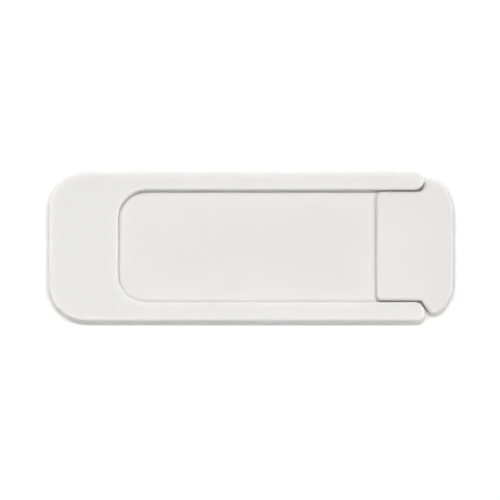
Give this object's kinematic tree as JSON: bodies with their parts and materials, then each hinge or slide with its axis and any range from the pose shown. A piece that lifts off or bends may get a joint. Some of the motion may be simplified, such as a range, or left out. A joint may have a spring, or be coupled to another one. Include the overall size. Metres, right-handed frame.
{
  "type": "webcam cover slider",
  "caption": "Low U-shaped plastic frame that sticks over a webcam, with a thin shutter blade and crowned T-shaped grip that slides along it to open or cover the lens.",
  "frame": {"origin": "centre of the closed cover's bounding box on the underside of the adhesive tape", "axes": "+X along the slide towards the grip, +Z out of the screen that the cover is stuck to"},
  "size_m": [0.042, 0.0158, 0.0026],
  "materials": {
    "frame_plastic": "satin white moulded plastic",
    "slider_plastic": "satin white moulded plastic",
    "adhesive": "tacky translucent acrylic adhesive"
  },
  "bodies": {
    "housing": {"frame": "frame_plastic", "adhesive_tape": "adhesive"},
    "shutter": {"slider": "slider_plastic"}
  },
  "joints": [
    {"name": "shutter_slide", "type": "slide", "parent": "housing", "child": "shutter", "axis": [1, 0, 0], "range_m": [0, 0.012]}
  ]
}
